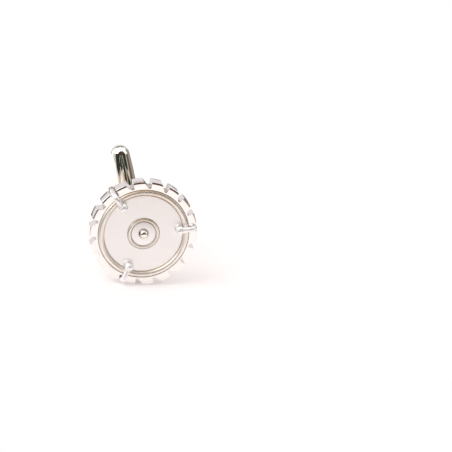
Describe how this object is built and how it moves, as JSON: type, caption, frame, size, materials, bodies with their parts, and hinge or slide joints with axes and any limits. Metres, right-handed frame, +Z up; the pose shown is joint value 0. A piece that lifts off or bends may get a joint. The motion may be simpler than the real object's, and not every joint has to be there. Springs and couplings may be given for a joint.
{
  "type": "swivel toggle cufflink",
  "caption": "Round cufflink: a satin face with bead rings, held by wire claws in a ratchet-cut rim, on a post whose bullet toggle swivels in a forked frame.",
  "frame": {"origin": "centre of the bounding box's bottom face, on the table that the cufflink stands on", "axes": "+Y runs along the post from the face to the toggle, so the face looks to -Y; +Z is up; +X is to the right when the face is looked at"},
  "size_m": [0.018, 0.024, 0.018],
  "materials": {
    "polished_silver": "polished silver",
    "satin_silver": "fine satin silver",
    "bead_silver": "burnished silver",
    "toggle_silver": "mirror polish",
    "spring_steel": "bare spring steel"
  },
  "bodies": {
    "cufflink": {"toothed_rim": "polished_silver", "back_plate": "polished_silver", "claw_1": "polished_silver", "claw_2": "polished_silver", "claw_3": "polished_silver", "face_disc": "satin_silver", "edge_bead": "bead_silver", "inner_bead": "bead_silver", "centre_boss": "satin_silver", "centre_rivet": "toggle_silver", "post_foot": "polished_silver", "post_stem": "polished_silver", "post_frame": "polished_silver", "hinge_pin": "polished_silver", "washer_left": "spring_steel", "washer_right": "spring_steel"},
    "toggle": {"toggle_bar": "toggle_silver"}
  },
  "joints": [
    {"name": "toggle_swivel", "type": "hinge", "parent": "cufflink", "child": "toggle", "pos_m": [0, 0.00997, 0.00898], "axis": [0.9736, 0, 0.2283], "range_deg": [-90, 90]}
  ]
}
